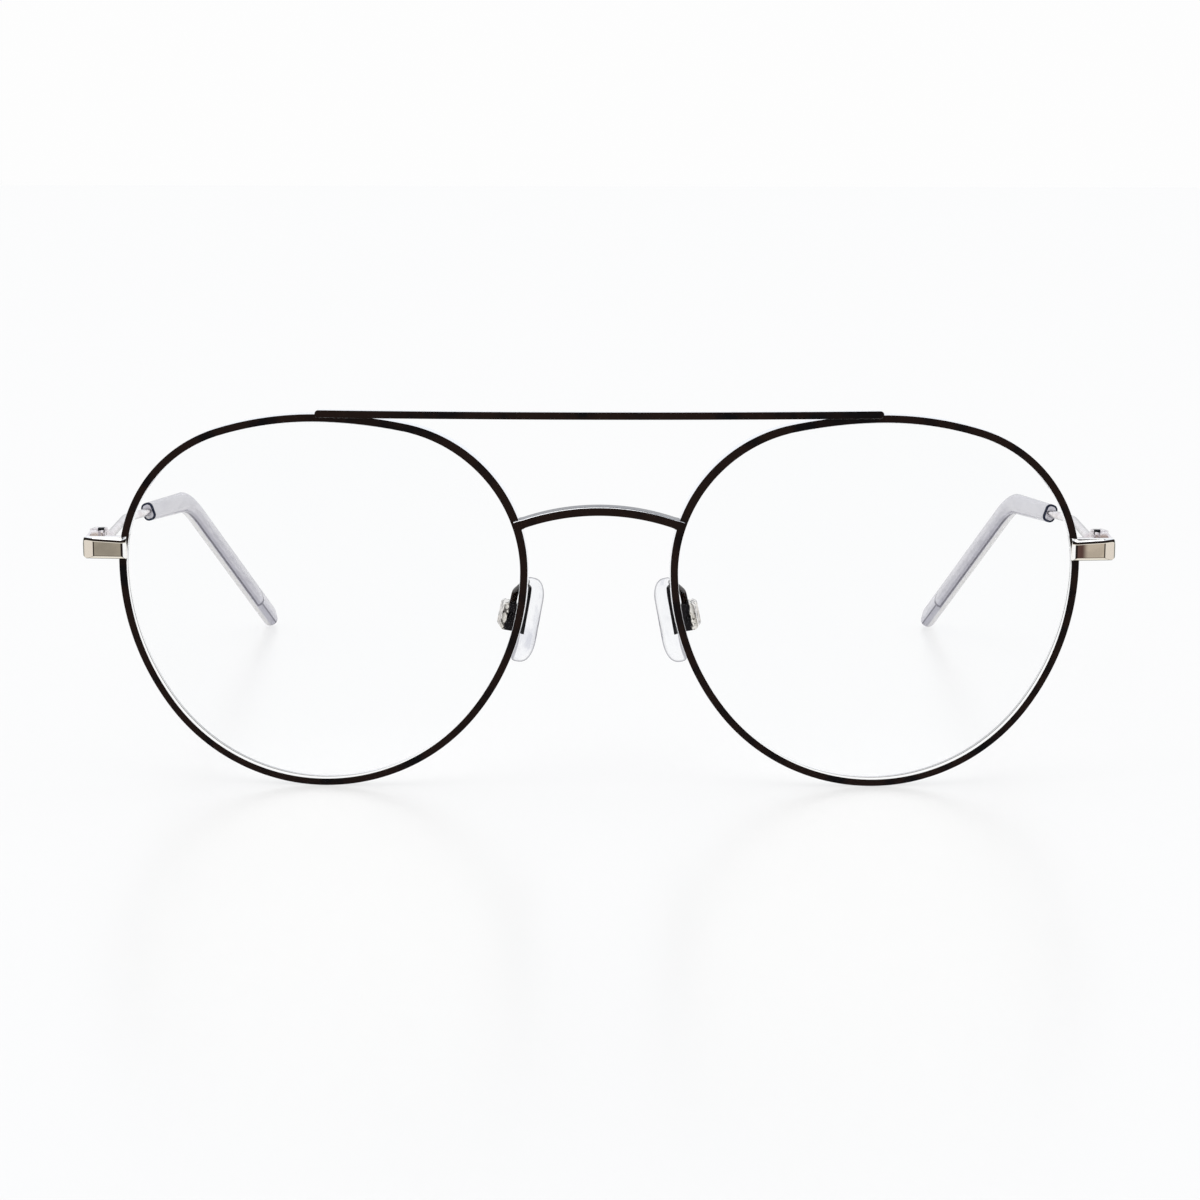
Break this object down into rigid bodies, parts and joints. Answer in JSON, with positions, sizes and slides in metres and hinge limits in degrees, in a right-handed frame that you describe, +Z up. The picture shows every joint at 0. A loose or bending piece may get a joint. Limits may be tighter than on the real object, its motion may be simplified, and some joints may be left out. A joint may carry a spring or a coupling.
{
  "type": "round eyeglasses",
  "caption": "Round metal eyeglasses with a straight brow bar, an arched bridge, clear lenses, rocking nose pads and thin folding temples with translucent tips.",
  "frame": {"origin": "bottom centre of the open glasses, on the surface that the rims and tips rest on", "axes": "+X to the viewer's right facing the front, +Y from the front back to the tips, +Z up"},
  "size_m": [0.1402, 0.1449, 0.0514],
  "materials": {
    "black_lacquer": "very dark brown-black gloss lacquer on metal wire",
    "nickel": "polished nickel plate, faintly warm",
    "crystal_tip": "translucent light grey acetate, polished",
    "dark_insert": "dark insert moulded into the nose pad",
    "clear_pad": "clear soft silicone",
    "lens": "clear lens with an anti-reflective coat"
  },
  "bodies": {
    "front": {"rim_left": "black_lacquer", "rim_right": "black_lacquer", "lens_left": "lens", "lens_right": "lens", "brow_bar": "black_lacquer", "bridge": "black_lacquer", "end_piece_left": "nickel", "end_piece_right": "nickel", "rim_lock_upper_left": "nickel", "rim_lock_upper_right": "nickel", "rim_lock_lower_left": "nickel", "rim_lock_lower_right": "nickel", "rim_lock_screw_left": "nickel", "rim_lock_screw_right": "nickel", "front_hinge_left": "nickel", "front_hinge_right": "nickel", "hinge_screw_left": "nickel", "hinge_screw_right": "nickel", "pad_arm_left": "black_lacquer", "pad_arm_right": "black_lacquer", "pad_box_left": "nickel", "pad_box_right": "nickel", "pad_screw_left": "nickel", "pad_screw_right": "nickel"},
    "temple_left": {"temple_left": "nickel", "temple_hinge_left": "nickel", "temple_tip_left": "crystal_tip"},
    "pad_left": {"pad_insert_left": "dark_insert", "nose_pad_left": "clear_pad"},
    "temple_right": {"temple_right": "nickel", "temple_hinge_right": "nickel", "temple_tip_right": "crystal_tip"},
    "pad_right": {"pad_insert_right": "dark_insert", "nose_pad_right": "clear_pad"}
  },
  "joints": [
    {"name": "temple_fold_left", "type": "hinge", "parent": "front", "child": "temple_left", "pos_m": [-0.0675, -0.0611, 0.03281], "axis": [0, -0.0384, -0.9993], "range_deg": [0, 80]},
    {"name": "temple_fold_right", "type": "hinge", "parent": "front", "child": "temple_right", "pos_m": [0.0675, -0.0611, 0.03281], "axis": [0, 0.0384, 0.9993], "range_deg": [0, 85]},
    {"name": "pad_rock_left", "type": "hinge", "parent": "front", "child": "pad_left", "pos_m": [-0.0123, -0.06007, 0.02246], "axis": [-0.1736, 0.9829, 0.0618], "range_deg": [-8, 8]},
    {"name": "pad_rock_right", "type": "hinge", "parent": "front", "child": "pad_right", "pos_m": [0.0123, -0.06007, 0.02246], "axis": [0.1736, 0.9829, 0.0618], "range_deg": [-8, 8]}
  ]
}
